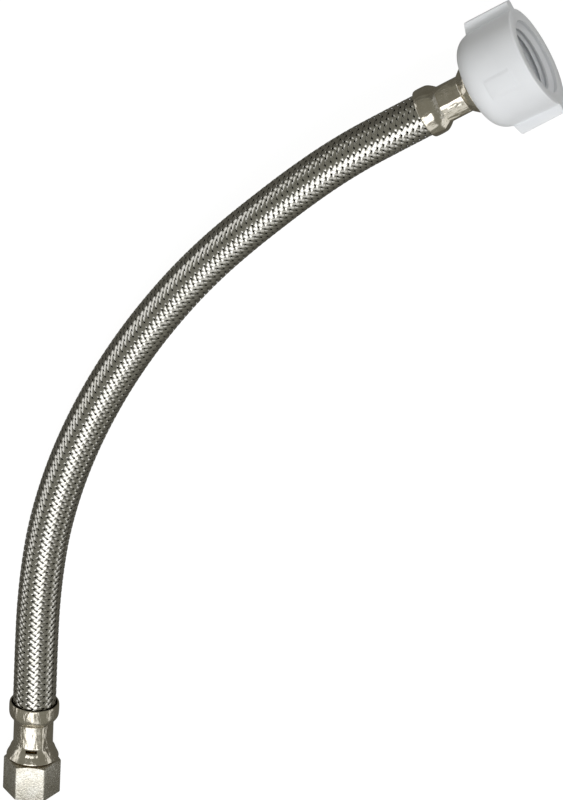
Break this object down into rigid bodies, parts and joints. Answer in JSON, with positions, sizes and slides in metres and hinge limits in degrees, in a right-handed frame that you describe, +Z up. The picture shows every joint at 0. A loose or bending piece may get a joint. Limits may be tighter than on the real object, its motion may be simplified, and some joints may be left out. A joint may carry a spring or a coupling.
{
  "type": "braided supply line",
  "caption": "Short flexible water supply hose in a steel braid, with a hex compression nut on one end and a winged plastic nut on the other.",
  "frame": {"origin": "middle of the footprint of the two fittings, on the plane the line lies on", "axes": "+Z up from that plane, the compression nut's mouth faces -Y, and the hose bends in the XY plane towards +X"},
  "size_m": [0.1684, 0.2879, 0.0331],
  "materials": {
    "steel_braid": "bright stainless wire, woven in flat bands",
    "hose_liner": "plain extruded tube",
    "ferrule_nickel": "warm bright nickel plate",
    "hex_nut_nickel": "satin nickel plate on brass",
    "insert_brass": "turned",
    "seal_rubber": "moulded",
    "nut_plastic": "moulded, slightly translucent"
  },
  "bodies": {
    "lower_end": {"lower_crimp_ferrule": "ferrule_nickel", "lower_barbed_insert": "insert_brass", "compression_cone_washer": "seal_rubber", "steel_braid": "steel_braid", "hose_liner": "hose_liner"},
    "upper_end": {"upper_crimp_ferrule": "ferrule_nickel", "upper_barbed_insert": "insert_brass", "ballcock_seal_washer": "seal_rubber"},
    "compression_nut": {"compression_nut": "hex_nut_nickel"},
    "ballcock_nut": {"ballcock_nut": "nut_plastic"}
  },
  "joints": [
    {"name": "hose_flex", "type": "hinge", "parent": "lower_end", "child": "upper_end", "pos_m": [-0.038, 0.0067, 0.0112], "axis": [0, 0, 1], "range_deg": [-30, 30], "stiffness_Nm_per_rad": 0.5, "deforming": ["steel_braid", "hose_liner"]},
    {"name": "compression_nut_swivel", "type": "hinge", "parent": "lower_end", "child": "compression_nut", "pos_m": [-0.074, -0.138, 0.00825], "axis": [0, -1, 0], "continuous": true},
    {"name": "ballcock_nut_swivel", "type": "hinge", "parent": "upper_end", "child": "ballcock_nut", "pos_m": [0.07026, 0.1253, 0.0166], "axis": [0.8339, 0.5519, 0], "continuous": true}
  ]
}
